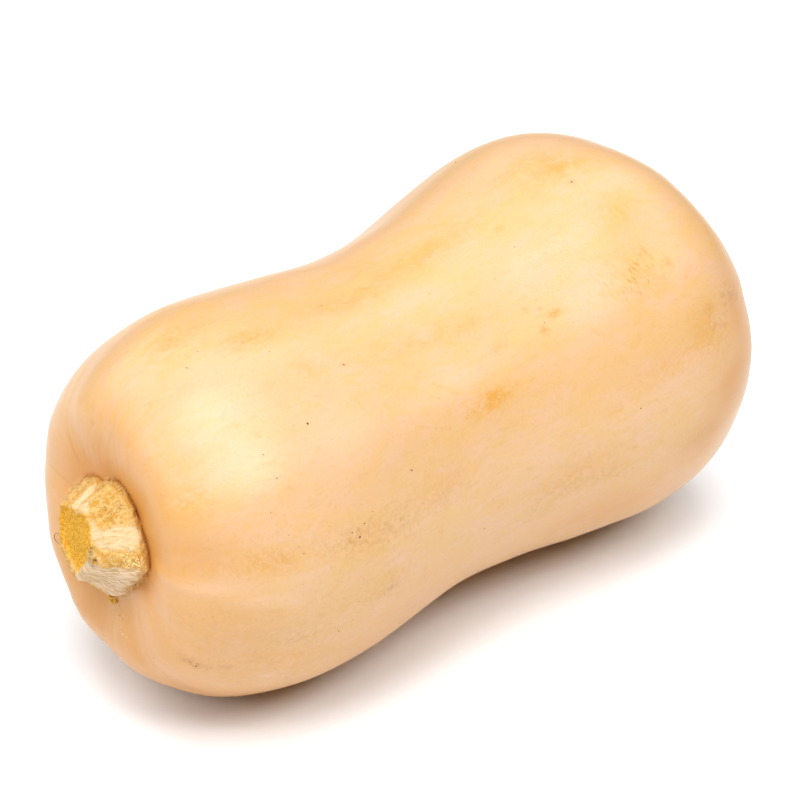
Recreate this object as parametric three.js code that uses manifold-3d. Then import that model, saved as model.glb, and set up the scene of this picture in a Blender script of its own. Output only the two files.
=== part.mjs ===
// Butternut squash, a natural fruit lying on its side, as a three.js scene graph.
// Millimetres, +Z up. The stem points along -X, the blossom end along +X.
// The origin is in the middle of the footprint, on the surface that the squash lies on.

import * as THREE from "three";
import { NURBSCurve } from "three/addons/curves/NURBSCurve.js";
import { mergeVertices } from "three/addons/utils/BufferGeometryUtils.js";
import Module from "manifold-3d";

const wasm = await Module();
wasm.setup();

// Driving dimensions of the fruit

const BODY_LENGTH = 204;

// Half outline of the body: [station along the body, radius], as control points of a cubic
// B-spline. It starts at the stem seat, rises over the shoulder, and closes at the blossom end.
const BODY_OUTLINE = [
  [2.2, 0],
  [2.2, 14.5],
  [-1, 27.5],
  [-0.5, 37],
  [18, 51],
  [48, 56],
  [85, 48.5],
  [118, 51],
  [150, 60],
  [183, 60],
  [BODY_LENGTH, 37],
  [BODY_LENGTH, 0],
];

// Middle line of the body: [station, sideways, up]. The stations are evenly paced, so that the
// curve's parameter is the share of the length.
const BODY_SPINE = [
  [0, -1, 2.5],
  [BODY_LENGTH / 6, 0, -4.5],
  [BODY_LENGTH / 2, 1, -3.5],
  [(BODY_LENGTH * 5) / 6, 2.5, 1],
  [BODY_LENGTH, 0.5, 4.5],
];

// How far each end leans: millimetres along the body for each millimetre sideways and up.
const STEM_END_LEAN = [0.06, 0.09];
const BLOSSOM_END_LEAN = [-0.08, -0.08];
const LEAN_REACH = 0.35; // share of the length over which a lean fades out

// Furrows that run out from the stem: [angle round the body in degrees, depth].
const FURROWS = [
  [10, 0.6],
  [57, 1.0],
  [86, 0.8],
  [135, 0.5],
  [200, 0.9],
  [240, 0.4],
  [277, 0.9],
  [322, 0.6],
];
const FURROW_HALF_WIDTH = 8; // degrees
const FURROW_START = [8, 17]; // radii between which a furrow deepens from nothing
const FURROW_END = 42; // station where the last trace of a furrow is gone

const COLLAR_RADIUS = 18; // the groove in the skin round the stem's foot
const COLLAR_WIDTH = 4;
const COLLAR_DEPTH = 1.3;

const RIB_COUNT = 10; // the faint lengthwise ribs of the whole body
const RIB_HEIGHT = 0.2;

const SCAR_RADIUS = 5.5; // the blossom scar, a small raised ring in a shallow dimple
const SCAR_LIP = 0.6;
const SCAR_DIMPLE_RADIUS = 13;
const SCAR_DIMPLE_DEPTH = 1.4;

const REST_DEPTH = 0.8; // how much the neck and the bulb are flattened where they rest

// Driving dimensions of the stem

const STEM_SHIFT = [-0.4, 0.5]; // sideways and up from the middle of the seat
const STEM_SIDE_TURN = 11; // degrees that it turns towards +Y from straight out along -X
const STEM_LIFT = 8; // degrees that it rises
const STEM_LENGTH = 11.5; // from the seat to the middle of the cut
const STEM_CUT_RADIUS = 8.4; // of the cut end between its ridges
const STEM_ROOT = 5; // how far its solid starts below the seat, before it is trimmed
const STEM_GAP = 0.3; // between the foot and the skin

// Half outline of the stem between its ridges: [height above the seat, radius].
const STEM_OUTLINE = [
  [-STEM_ROOT, 0],
  [-STEM_ROOT, 9],
  [-2, 14],
  [2.2, 15.6],
  [4.4, 13.8],
  [7.8, 11.2],
  [10.8, 9.2],
  [STEM_LENGTH + 0.4, STEM_CUT_RADIUS],
  [STEM_LENGTH - 0.3, 5.5],
  [STEM_LENGTH, 0],
];

// Ridges of the stem: [angle round it in degrees, height at the foot, half width in degrees].
const STEM_RIDGES = [
  [38, 2.6, 18],
  [113, 3.8, 22],
  [172, 5.4, 23],
  [250, 0.8, 28],
  [330, 2.4, 26],
];
const RIDGE_AT_CUT = 0.7; // share of its height that a ridge keeps at the cut

// Fineness of the solids

const BODY_RINGS = 44;
const BODY_SIDES = 72;
const STEM_RINGS = 20;
const STEM_SIDES = 54;

// Shared mathematics

function smooth(value) {
  return THREE.MathUtils.smoothstep(value, 0, 1);
}

function bell(distance, halfWidth) {
  return Math.exp(-((distance / halfWidth) ** 2));
}

// Signed difference of two angles, in degrees, between -180 and 180.
function angleBetween(angle, other) {
  return THREE.MathUtils.euclideanModulo(angle - other + 180, 360) - 180;
}

// A cubic B-spline that starts at its first control point and ends at its last.
function clampedSpline(points) {
  const degree = 3;
  const spans = points.length - degree;
  const knots = [];
  for (let i = 0; i < points.length + degree + 1; i += 1) {
    knots.push(THREE.MathUtils.clamp((i - degree) / spans, 0, 1));
  }
  const controls = points.map(([x, y, z = 0]) => new THREE.Vector4(x, y, z, 1));
  return new NURBSCurve(degree, knots, controls);
}

// A solid of revolution along +X from an outline of [height, radius] control points.
function turned(outline, rings, sides) {
  const curve = clampedSpline(outline);
  const profile = curve.getPoints(rings).map((point) => new THREE.Vector2(point.y, point.x));
  profile[0].x = 0;
  profile[rings].x = 0;
  const geometry = new THREE.LatheGeometry(profile, sides);
  geometry.deleteAttribute("normal");
  geometry.deleteAttribute("uv");
  geometry.rotateZ(-Math.PI / 2);
  return mergeVertices(geometry, 1e-4);
}

// Moves each vertex of a turned solid: place(x, radius, angle in degrees) is its new point.
// The angle is measured from +Y, over +Z.
function reshape(geometry, place) {
  const position = geometry.getAttribute("position");
  for (let i = 0; i < position.count; i += 1) {
    const side = position.getY(i);
    const up = position.getZ(i);
    const angle = THREE.MathUtils.radToDeg(Math.atan2(up, side));
    const point = place(position.getX(i), Math.hypot(side, up), angle);
    position.setXYZ(i, point.x, point.y, point.z);
  }
  geometry.computeVertexNormals();
  return geometry;
}

// Moves each vertex along its own normal by the amount that rise(index) gives.
function raise(geometry, rise) {
  const position = geometry.getAttribute("position");
  const normal = geometry.getAttribute("normal").clone();
  const point = new THREE.Vector3();
  const outward = new THREE.Vector3();
  for (let i = 0; i < position.count; i += 1) {
    point.fromBufferAttribute(position, i);
    outward.fromBufferAttribute(normal, i);
    point.addScaledVector(outward, rise(i));
    position.setXYZ(i, point.x, point.y, point.z);
  }
  geometry.computeVertexNormals();
  return geometry;
}

// The fruit

const spine = clampedSpline(BODY_SPINE);

// A point of the smooth body, before it is laid down.
function bodyPoint(station, radius, angle) {
  const share = THREE.MathUtils.clamp(station / BODY_LENGTH, 0, 1);
  const middle = spine.getPoint(share);
  const side = radius * Math.cos(THREE.MathUtils.degToRad(angle));
  const up = radius * Math.sin(THREE.MathUtils.degToRad(angle));
  const stemLean = smooth(1 - share / LEAN_REACH);
  const blossomLean = smooth(1 - (1 - share) / LEAN_REACH);
  const along = station
    + stemLean * (STEM_END_LEAN[0] * side + STEM_END_LEAN[1] * up)
    + blossomLean * (BLOSSOM_END_LEAN[0] * side + BLOSSOM_END_LEAN[1] * up);
  return new THREE.Vector3(along, middle.y + side, middle.z + up);
}

// How far the skin stands out of the smooth body.
function bodyRelief(station, radius, angle) {
  const share = station / BODY_LENGTH;
  const onStemEnd = smooth(1 - station / FURROW_END);
  const deepening = smooth((radius - FURROW_START[0]) / (FURROW_START[1] - FURROW_START[0]));
  let rise = 0;
  for (const [at, depth] of FURROWS) {
    rise -= depth * onStemEnd * deepening * bell(angleBetween(angle, at), FURROW_HALF_WIDTH);
  }
  if (share < 0.5) {
    rise -= COLLAR_DEPTH * bell(radius - COLLAR_RADIUS, COLLAR_WIDTH) * onStemEnd ** 2;
  } else {
    rise -= SCAR_DIMPLE_DEPTH * bell(radius, SCAR_DIMPLE_RADIUS);
    rise += SCAR_LIP * bell(radius - SCAR_RADIUS, SCAR_RADIUS / 3);
  }
  const ribs = Math.cos(THREE.MathUtils.degToRad(RIB_COUNT * angle));
  return rise + RIB_HEIGHT * ribs * smooth(radius / SCAR_DIMPLE_RADIUS - 1);
}

function fruitSkin() {
  const geometry = turned(BODY_OUTLINE, BODY_RINGS, BODY_SIDES);
  const relief = [];
  reshape(geometry, (station, radius, angle) => {
    relief.push(bodyRelief(station, radius, angle));
    return bodyPoint(station, radius, angle);
  });
  return raise(geometry, (i) => relief[i]);
}

// The pitch that brings the lowest points of the neck and of the bulb to the same height, and
// the height of both.
function restingPose(geometry) {
  const point = new THREE.Vector3();
  const position = geometry.getAttribute("position");
  let pitch = 0;
  let neck = new THREE.Vector3();
  let bulb = new THREE.Vector3();
  for (let pass = 0; pass < 8; pass += 1) {
    const turn = new THREE.Matrix4().makeRotationY(pitch);
    neck = new THREE.Vector3(0, 0, Infinity);
    bulb = new THREE.Vector3(0, 0, Infinity);
    for (let i = 0; i < position.count; i += 1) {
      point.fromBufferAttribute(position, i);
      const lowest = point.x < BODY_LENGTH / 2 ? neck : bulb;
      point.applyMatrix4(turn);
      if (point.z < lowest.z) {
        lowest.copy(point);
      }
    }
    pitch += Math.atan2(bulb.z - neck.z, bulb.x - neck.x);
  }
  return { pitch, floor: Math.min(neck.z, bulb.z) };
}

// The stem

// The spot on the seat where the stem stands, and its direction, before the body is laid down.
const stemSeat = bodyPoint(BODY_OUTLINE[0][0], 0, 0)
  .add(new THREE.Vector3(0, STEM_SHIFT[0], STEM_SHIFT[1]));
const stemTurn = new THREE.Euler(
  0,
  THREE.MathUtils.degToRad(STEM_LIFT),
  -THREE.MathUtils.degToRad(STEM_SIDE_TURN),
  "ZYX",
);

function stemRadius(height, radius, angle) {
  const toCut = smooth((height + STEM_ROOT / 2) / (STEM_LENGTH + STEM_ROOT / 2));
  const keep = THREE.MathUtils.lerp(1, RIDGE_AT_CUT, toCut);
  const outwards = smooth(radius / STEM_CUT_RADIUS); // no ridge in the middle of the cut
  let grown = radius;
  for (const [at, rise, halfWidth] of STEM_RIDGES) {
    grown += rise * keep * outwards * bell(angleBetween(angle, at), halfWidth);
  }
  return grown;
}

// The stem is turned along +X and then set round to point along -X.
function stemSkin() {
  const straight = turned(STEM_OUTLINE, STEM_RINGS, STEM_SIDES).rotateZ(Math.PI);
  return reshape(straight, (x, radius, angle) => {
    const grown = stemRadius(-x, radius, angle);
    const side = grown * Math.cos(THREE.MathUtils.degToRad(angle));
    const up = grown * Math.sin(THREE.MathUtils.degToRad(angle));
    return new THREE.Vector3(x, side, up).applyEuler(stemTurn).add(stemSeat);
  });
}

// Solids, cut and trimmed

function toSolid(geometry) {
  const position = geometry.getAttribute("position");
  const vertProperties = new Float32Array(position.array);
  const triVerts = new Uint32Array(geometry.index.array);
  return new wasm.Manifold(new wasm.Mesh({ numProp: 3, vertProperties, triVerts }));
}

function toGeometry(solid) {
  const mesh = solid.getMesh();
  const geometry = new THREE.BufferGeometry();
  geometry.setAttribute("position", new THREE.BufferAttribute(mesh.vertProperties, 3));
  geometry.setIndex(new THREE.BufferAttribute(mesh.triVerts, 1));
  geometry.computeVertexNormals();
  return geometry;
}

// Everything below the resting plane, as a block to cut away.
function floorBlock() {
  const thick = 20;
  const block = new THREE.BoxGeometry(2 * BODY_LENGTH, BODY_LENGTH, thick);
  block.translate(0, 0, -thick / 2);
  block.deleteAttribute("normal");
  block.deleteAttribute("uv");
  return mergeVertices(block);
}

const fruitGeometry = fruitSkin();
const pose = restingPose(fruitGeometry);
const layDown = new THREE.Matrix4()
  .makeTranslation(-BODY_LENGTH / 2, 0, -pose.floor - REST_DEPTH)
  .multiply(new THREE.Matrix4().makeRotationY(pose.pitch));
fruitGeometry.applyMatrix4(layDown);
const stemGeometry = stemSkin().applyMatrix4(layDown);
const fruitWithGap = raise(fruitGeometry.clone(), () => STEM_GAP);

const skin = new THREE.MeshStandardMaterial({ color: 0xe9bc85, roughness: 0.45, metalness: 0 });
const cork = new THREE.MeshStandardMaterial({ color: 0xd9b06c, roughness: 0.85, metalness: 0 });

const fruit = new THREE.Mesh(toGeometry(toSolid(fruitGeometry).subtract(toSolid(floorBlock()))), skin);
fruit.name = "fruit";

const stem = new THREE.Mesh(toGeometry(toSolid(stemGeometry).subtract(toSolid(fruitWithGap))), cork);
stem.name = "stem";

const squash = new THREE.Group();
squash.add(fruit, stem);

// The footprint is centred on the origin.
const footprint = new THREE.Box3().setFromObject(squash);
const centre = footprint.getCenter(new THREE.Vector3());
for (const piece of squash.children) {
  piece.position.set(-centre.x, -centre.y, 0);
}

export default squash;
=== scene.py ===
"""The looks of a butternut squash that lies on its side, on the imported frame.

The fruit and its dry stem are made as fine meshes by the same rules as the solids, with the small
forms, colours and surface that the solids leave out. Shapes are worked out in millimetres, +Z up,
with the stem towards -X, and each mesh is written in metres. An angle round the fruit or the stem
is in degrees, from +Y over +Z.
"""

import bpy
import numpy as np
from bpy.props import FloatProperty, FloatVectorProperty, IntProperty, PointerProperty
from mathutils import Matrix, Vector, noise
from mathutils.bvhtree import BVHTree


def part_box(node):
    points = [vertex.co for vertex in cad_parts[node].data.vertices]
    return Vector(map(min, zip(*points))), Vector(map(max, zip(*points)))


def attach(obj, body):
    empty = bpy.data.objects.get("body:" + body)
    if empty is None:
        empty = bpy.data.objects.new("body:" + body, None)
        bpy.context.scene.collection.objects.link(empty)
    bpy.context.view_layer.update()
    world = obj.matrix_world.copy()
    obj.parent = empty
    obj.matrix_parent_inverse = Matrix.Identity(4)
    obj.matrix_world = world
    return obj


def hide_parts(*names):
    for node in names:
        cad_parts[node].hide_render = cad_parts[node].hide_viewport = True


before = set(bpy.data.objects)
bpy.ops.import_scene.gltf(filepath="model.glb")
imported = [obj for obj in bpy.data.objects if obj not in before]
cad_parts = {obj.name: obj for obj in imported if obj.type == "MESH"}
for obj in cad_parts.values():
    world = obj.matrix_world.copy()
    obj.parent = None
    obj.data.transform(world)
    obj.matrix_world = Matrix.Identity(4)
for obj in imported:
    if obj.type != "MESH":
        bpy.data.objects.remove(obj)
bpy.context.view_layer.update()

bl_info = {
    "name": "Butternut Squash",
    "version": (1, 0, 0),
    "blender": (4, 5, 0),
    "location": "3D View > Sidebar > Squash",
    "description": "Makes a butternut squash lying on its side, and a stage to show it on",
    "category": "Add Mesh",
}

MM = 0.001

# Sizes of the fruit, as in the solids but for the shallower furrows and collar

BODY_LENGTH = 204
BODY_OUTLINE = [
    [2.2, 0],
    [2.2, 14.5],
    [-1, 27.5],
    [-0.5, 37],
    [18, 51],
    [48, 56],
    [85, 48.5],
    [118, 51],
    [150, 60],
    [183, 60],
    [BODY_LENGTH, 37],
    [BODY_LENGTH, 0],
]
BODY_SPINE = [
    [0, -1, 2.5],
    [BODY_LENGTH / 6, 0, -4.5],
    [BODY_LENGTH / 2, 1, -3.5],
    [BODY_LENGTH * 5 / 6, 2.5, 1],
    [BODY_LENGTH, 0.5, 4.5],
]
STEM_END_LEAN = [0.06, 0.09]
BLOSSOM_END_LEAN = [-0.08, -0.08]
LEAN_REACH = 0.35

# Furrows that run out from the stem: [angle, depth].
FURROWS = [
    [10, 0.4],
    [57, 0.15],
    [86, 0.15],
    [135, 0.3],
    [200, 0.5],
    [240, 0.2],
    [277, 0.3],
    [322, 0.4],
]
FURROW_HALF_WIDTH = 8
FURROW_START = [8, 17]
FURROW_END = 42
COLLAR_RADIUS = 18
COLLAR_WIDTH = 4
COLLAR_DEPTH = 0.55
RIB_COUNT = 10
SCAR_RADIUS = 5.5
SCAR_DIMPLE_RADIUS = 13
SCAR_DIMPLE_DEPTH = 1.4
REST_DEPTH = 0.8

# Sizes of the stem, as in the solids but for the upper ridges

STEM_SHIFT = [-0.4, 0.5]
STEM_SIDE_TURN = 11
STEM_LIFT = 8
STEM_LENGTH = 11.5
STEM_CUT_RADIUS = 8.4
STEM_ROOT = 5
STEM_OUTLINE = [
    [-STEM_ROOT, 0],
    [-STEM_ROOT, 9],
    [-2, 14],
    [2.2, 15.6],
    [4.4, 13.8],
    [7.8, 11.2],
    [10.8, 9.2],
    [STEM_LENGTH + 0.4, STEM_CUT_RADIUS],
    [STEM_LENGTH - 0.3, 5.5],
    [STEM_LENGTH, 0],
]

# Ridges along the stem: [angle, height, half width in degrees].
STEM_RIDGES = [
    [28, 3.0, 20],
    [76, -0.8, 10],
    [112, 3.9, 22],
    [143, 1.6, 15],
    [172, 5.4, 23],
    [250, 0.8, 28],
    [330, 2.4, 26],
]
RIDGE_AT_CUT = 0.7

# Fineness of the meshes

FRUIT_RINGS = 290
FRUIT_SIDES = 336
STEM_RINGS = 210
STEM_SIDES = 270

# The skin's relief. Its waves are drawn out along the skin by their stretch.

LUMP_SIZE = 34
WAVE_SIZE = 9
WAVE_STRETCH = 9
RELIEF_START = [12, 38]
LINE_FADE = 5
SCAR_LUMP_SIZE = 2.2
SKIN_COORDINATE_RADIUS = 50

# Small forms and marks of the skin. Reach is the distance along the skin from the middle of the
# stem's seat, in millimetres.

# Broad low bumps and hollows: [reach, angle, half length, half width, height].
BROAD_BUMPS = [
    [240, 186, 14, 13, -0.9],
    [228, 85, 16, 22, -0.6],
    [151, 46, 16, 14, -0.6],
    [115, 66, 14, 14, 0.75],
    [53, 43, 10, 10, 0.35],
    [38, 355, 9, 9, -0.55],
    [38, 327, 9, 10, 1.1],
    [34, 297, 9, 10, 0.9],
    [47, 244, 9, 10, -0.55],
    [67, 243, 10, 10, 0.5],
    [126, 226, 12, 12, -0.4],
    [150, 228, 12, 12, 0.6],
    [187, 232, 12, 12, -0.45],
    [203, 231, 9, 10, 0.6],
]

# Fine folds in the skin near the stem: [angle, turn in degrees per millimetre, depth, start, end].
# The skin's colour also paints shade into these folds.
WRINKLES = [
    [41, 0.75, 0.14, 19, 46],
    [50, 1.2, 0.06, 18, 34],
    [57, 1.6, 0.1, 18, 38],
    [66, 1.3, 0.07, 18, 34],
    [74, 1.0, 0.1, 18, 38],
    [83, 0.8, 0.08, 17, 36],
    [90, 0.3, 0.1, 18, 40],
    [98, -0.2, 0.07, 19, 36],
    [107, -0.9, 0.08, 21, 40],
    [114, -1.3, 0.07, 23, 38],
    [121, -1.4, 0.07, 25, 40],
    [152, 0.3, 0.06, 21, 34],
    [228, -0.2, 0.1, 18, 38],
    [262, 0.1, 0.12, 18, 40],
    [301, 0.15, 0.12, 17, 40],
    [344, -0.1, 0.14, 17, 40],
    [12, 0.1, 0.14, 17, 40],
]
WRINKLE_HALF_WIDTH = 0.5

# Raised lines that run out from the stem, in the same form as the folds.
RAISED_LINES = [
    [169, 0.28, 0.6, 22, 74],
    [300, 0.1, 0.2, 22, 60],
]
RAISED_HALF_WIDTH = 1.8

# Yellow-orange blotches: [reach, angle, half length, half width, strength].
BLOTCHES = [
    [66, 84, 13, 5, 0.7],
    [62, 96, 8, 4, 0.5],
    [80, 102, 8, 3.5, 1.0],
    [84, 118, 12, 4, 0.55],
    [115, 99, 22, 3.5, 0.5],
    [150, 94, 24, 5, 0.6],
    [116, 121, 12, 5, 0.4],
    [139, 124, 8, 3, 0.75],
    [198, 95, 12, 7, 0.8],
    [199, 117, 9, 6, 0.45],
    [194, 136, 8, 6, 0.6],
    [138, 148, 8, 3.5, 1.1],
    [209, 158, 9, 7, 0.6],
    [190, 162, 14, 4, 0.45],
    [166, 183, 12, 5, 0.5],
    [150, 185, 10, 4, 0.4],
    [115, 164, 12, 4, 0.45],
    [90, 168, 10, 5, 0.4],
    [61, 165, 10, 3, 0.7],
    [43, 140, 8, 5, 0.8],
    [41, 187, 9, 6, 0.45],
    [92, 184, 10, 5, 0.4],
    [65, 203, 10, 4, 0.6],
    [52, 128, 10, 3, 0.4],
    [70, 60, 14, 5, 0.5],
    [130, 45, 26, 5, 0.6],
    [205, 38, 14, 9, 0.7],
    [95, 15, 16, 5, 0.5],
    [180, -5, 18, 6, 0.6],
    [60, -20, 10, 5, 0.6],
    [215, 200, 10, 8, 0.4],
    [120, 230, 18, 5, 0.4],
    [185, 330, 16, 7, 0.6],
]

# Duller, faintly green places where small dark dots gather, in the same form.
DULL_PATCHES = [
    [82, 166, 8, 4, 0.42],
    [97, 167, 8, 4.5, 0.36],
    [57, 164, 8, 3, 0.3],
    [92, 187, 6, 3.5, 0.25],
    [67, 193, 7, 3, 0.35],
    [115, 168, 7, 3, 0.3],
    [158, 189, 9, 3, 0.35],
    [174, 189, 8, 2.5, 0.4],
    [149, 194, 7, 3, 0.25],
    [78, 101, 5, 3, 0.5],
    [65, 87, 7, 2.5, 0.5],
    [199, 86, 8, 3, 0.4],
    [185, 86, 8, 3, 0.3],
    [212, 167, 7, 4, 0.25],
    [200, 189, 8, 4, 0.3],
    [110, 20, 12, 4, 0.6],
    [190, 350, 12, 5, 0.5],
    [90, 50, 10, 4, 0.5],
    [60, 205, 26, 26, 0.22],
    [92, 175, 22, 14, 0.12],
]

# Brown rubbed smudges, in the same form.
SMUDGES = [
    [42, 210, 3.5, 1.4, 0.6],
    [50, 207, 2, 0.9, 0.35],
    [93, 187, 2.5, 0.9, 0.4],
    [222, 153, 5, 3, 0.35],
    [213, 159, 5, 3, 0.2],
    [226, 10, 6, 3, 0.3],
    [140, 262, 9, 5, 0.4],
]

# Small yellow-brown stains, in the same form.
STAINS = [
    [166, 134, 1.9, 1.1, 1.0],
    [161, 137, 1.3, 1.1, 0.8],
    [163, 131, 0.8, 0.7, 0.6],
    [159, 129, 0.7, 0.6, 0.5],
    [169, 102, 1.2, 0.9, 0.7],
    [196, 103, 1.4, 1.0, 0.5],
    [146, 135, 2.6, 1.4, 0.4],
    [100, 120, 1.2, 0.6, 0.5],
    [62, 124, 0.9, 0.6, 0.5],
    [66, 129, 1.0, 0.6, 0.5],
    [81, 166, 1.0, 0.7, 0.9],
    [84, 164, 0.9, 0.5, 0.7],
    [204, 137, 0.9, 1.4, 0.7],
    [199, 131, 0.8, 1.6, 0.6],
    [211, 153, 2.0, 1.6, 0.5],
    [32, 78, 0.8, 0.6, 0.8],
    [32, 194, 1.1, 0.9, 0.4],
    [72, 186, 0.9, 0.6, 0.6],
    [78, 203, 0.9, 0.6, 0.5],
    [104, 205, 1.1, 0.6, 0.5],
    [145, 175, 0.9, 0.6, 0.5],
    [180, 182, 1.0, 0.6, 0.5],
    [120, 20, 1.4, 0.8, 0.6],
    [200, 350, 1.6, 1.0, 0.6],
    [90, 320, 1.2, 0.8, 0.6],
]

# Pale places, in the same form. Some are the skin's own pale marks, and some are a painted sheen
# that whitens the skin round the highlight on the neck and along the top.
PALE_AND_SHEEN_PATCHES = [
    [61, 107, 14, 7, 0.8],
    [168, 146, 5, 3.5, 0.6],
    [66, 172, 3, 1, 0.8],
    [65, 179, 3, 0.9, 0.8],
    [62, 211, 2.5, 0.9, 0.7],
    [60, 270, 16, 14, 0.8],
    [190, 75, 26, 10, 0.5],
    [60, 133, 11, 8, 0.5],
    [78, 140, 10, 8, 0.6],
    [120, 62, 20, 8, 0.5],
    [138, 70, 10, 6, 0.5],
    [208, 84, 10, 7, 0.8],
    [75, 118, 12, 11, 0.5],
    [88, 140, 12, 9, 0.5],
    [165, 118, 16, 10, 0.5],
    [42, 172, 11, 1.7, 0.9],
    [58, 177, 10, 2.0, 0.7],
]

# Broad places of a deeper tan, in the same form. Some are the skin's own deeper tan, as on the
# underside that lies on the floor, and some are painted shade that makes the lower side of the neck
# and of the bulb darker and more orange.
WARM_AND_SHADE_PATCHES = [
    [24, 95, 9, 24, 0.75],
    [30, 150, 9, 9, 0.4],
    [36, 262, 18, 30, 0.5],
    [48, 185, 14, 16, 0.35],
    [30, 320, 14, 16, 0.35],
    [42, 159, 10, 6, 0.5],
    [240, 168, 16, 26, 0.8],
    [228, 160, 10, 9, 1.0],
    [217, 178, 11, 9, 1.0],
    [207, 193, 11, 9, 1.0],
    [180, 207, 24, 10, 0.7],
    [100, 204, 34, 14, 0.5],
    [46, 121, 8, 8, 0.3],
    [60, 260, 40, 34, 1.0],
    [110, 265, 50, 32, 1.0],
    [190, 265, 50, 34, 1.0],
]

# A place on the bulb where short scratches that run across it show in orange-brown: [reach, angle,
# half length, half width], and their slant from straight across in degrees.
SCUFF = [192, 135, 9, 6]
SCRATCH_SLANT = 16

# Dark corky specks that are placed one by one: [reach, angle, size].
SPECKS = [
    [196, 103, 0.6],
    [168, 110, 0.35],
    [162, 135, 0.28],
    [100, 120, 0.45],
    [105, 155, 0.5],
    [80, 132, 0.6],
    [65, 135, 0.35],
    [66, 142, 0.35],
    [68, 165, 0.35],
    [78, 195, 0.5],
    [43, 211, 0.7],
    [82, 164, 0.5],
    [84, 166, 0.6],
    [86, 163, 0.45],
    [60, 100, 0.4],
    [122, 140, 0.35],
    [182, 170, 0.45],
    [190, 60, 0.6],
    [120, 30, 0.6],
    [150, 350, 0.7],
    [210, 330, 0.6],
]
SPECK_HEIGHT_SHARE = 0.3
STRAY_SPECK_REACH = [30, 262]
STRAY_SPECK_SIZES = [0.18, 0.34]

# Up to this reach the skin's distance to the stem is measured. Farther out one value stands for it.
NEAR_STEM_REACH = 45
FAR_AWAY = 99.0
# Width of the painted shade in the narrow join where the stem leaves the skin.
CREVICE_SHADE_WIDTH = 0.55
# Width and strength of the deeper orange round the stem: partly the skin's own tone, partly painted
# shade in the dip round the stem.
HOLLOW_TONE_AND_SHADE_WIDTH = 13
HOLLOW_TONE_AND_SHADE_STRENGTH = 0.95

# Small forms and marks of the stem. Its rings are on the cut from this share of their count.

TOP_RING_SHARE = 0.62
STEM_LUMP_SIZE = 3.4
STEM_GRAIN_SIZE = 1.1
STEM_FIBRE_SIZE = 1.0
STEM_FIBRE_STRETCH = 0.16
STEM_COORDINATE_RADIUS = 12
# Painted shade along the stem's edge next to the skin: its width and strength.
FOOT_SHADE_WIDTH = 0.7
FOOT_SHADE_STRENGTH = 0.8

# Edge of the pith on the cut: [angle, distance from the stem's middle line].
PITH_EDGE = [
    [0, 9.2],
    [20, 10.4],
    [40, 10.2],
    [59, 8.9],
    [84, 9.0],
    [99, 9.3],
    [108, 11.0],
    [115, 12.1],
    [134, 11.2],
    [153, 11.4],
    [164, 9.8],
    [170, 8.8],
    [190, 8.0],
    [218, 7.2],
    [245, 8.0],
    [280, 6.5],
    [317, 7.4],
    [335, 8.8],
]
PITH_DEPTH = 0.9
PITH_SLOPE_WIDTH = 1.1
PITH_EDGE_WIDTH = 0.5
PITH_EDGE_WOBBLE = 0.45
PITH_EDGE_WOBBLE_SIZE = 1.6

# A thin pale rind along part of the edge of the cut: [angle, half width, strength].
PALE_RIM = [230, 50, 0.8]

# Patches on the stem's side: [height, angle, half height, half width in degrees, strength].
CREAM_PATCHES = [
    [10.6, 80, 1.8, 14, 1.0],
    [8.2, 74, 2.2, 11, 1.0],
    [5.6, 67, 2.0, 9, 0.9],
    [10.2, 106, 1.4, 9, 0.8],
    [7.6, 97, 2.0, 4, 0.6],
    [10.4, 132, 1.5, 12, 0.8],
    [8.6, 150, 2.2, 11, 0.9],
    [6.0, 148, 2.4, 12, 0.8],
    [3.4, 150, 2.2, 11, 0.9],
    [1.4, 148, 1.4, 8, 0.7],
    [8, 10, 3, 8, 0.8],
    [5, 345, 3, 9, 0.7],
    [8.5, 300, 2.5, 12, 0.6],
]
PIT_PATCHES = [
    [6.8, 121, 1.1, 7, 0.9],
    [5.2, 127, 1.1, 5, 0.8],
    [3.8, 124, 0.8, 3.5, 0.6],
    [8.4, 146, 0.8, 4, 0.5],
    [2.4, 172, 2.2, 4.5, 0.6],
    [5, 315, 2, 6, 0.6],
    [4, 25, 2, 4, 0.6],
]
DARK_PATCHES = [
    [11.2, 157, 0.5, 2.2, 0.9],
    [11.4, 163, 0.4, 2.0, 0.9],
    [10.9, 171, 0.5, 2.2, 1.0],
    [11.3, 181, 0.4, 1.8, 0.7],
]

# Rounded lumps on the stem's foot, in the same form but with a height in place of a strength.
STEM_LUMPS = [
    [1.2, 130, 1.5, 6, 0.8],
    [0.4, 112, 1.2, 5, 0.3],
    [1.6, 92, 1.0, 5, 0.4],
    [6.4, 168, 1.5, 5, 0.3],
]

# The weathered grey face below, from one angle to another.
GREY_FACE = [177, 246]
GREY_FACE_EDGE = 3
GREY_FACE_WANDER = 4

# Beads and hairs on the stem. A place is [height, angle, half height, half width in degrees].
BEAD_PLACE = [3.4, 168, 2.8, 5.5]
BEAD_SIZES = [0.3, 0.6]
BEAD_SEED = 11
HAIR_PLACES = [[1.0, 214, 1.8, 44], [6, 28, 5, 18], [1.6, 100, 1.2, 34]]
HAIR_LENGTHS = [0.5, 1.3]
HAIR_THICKNESS = 0.12
HAIR_LIFT = 0.3
HAIR_SEED = 20

# The spread of the spots on a place of the stem, as a share of its half height and half width.
SPOT_SPREAD = 0.6

# A golden crumb on the skin below the stem: [reach, angle, half length, half width in degrees].
CRUMB_PLACE = [18.8, 269, 0.45, 3.2]
CRUMB_GRAINS = 46
CRUMB_GRAIN_SIZES = [0.5, 1.1]
CRUMB_GRAIN_LIFT = 0.9
CRUMB_SEED = 13

# A trail of tiny pale crumbs down the skin below it, from one reach and angle to another.
CRUMB_TRAIL = [[20, 256], [27, 249]]
TRAIL_CRUMBS = 14
TRAIL_CRUMB_SIZES = [0.3, 0.5]
TRAIL_WANDER = 3

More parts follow.
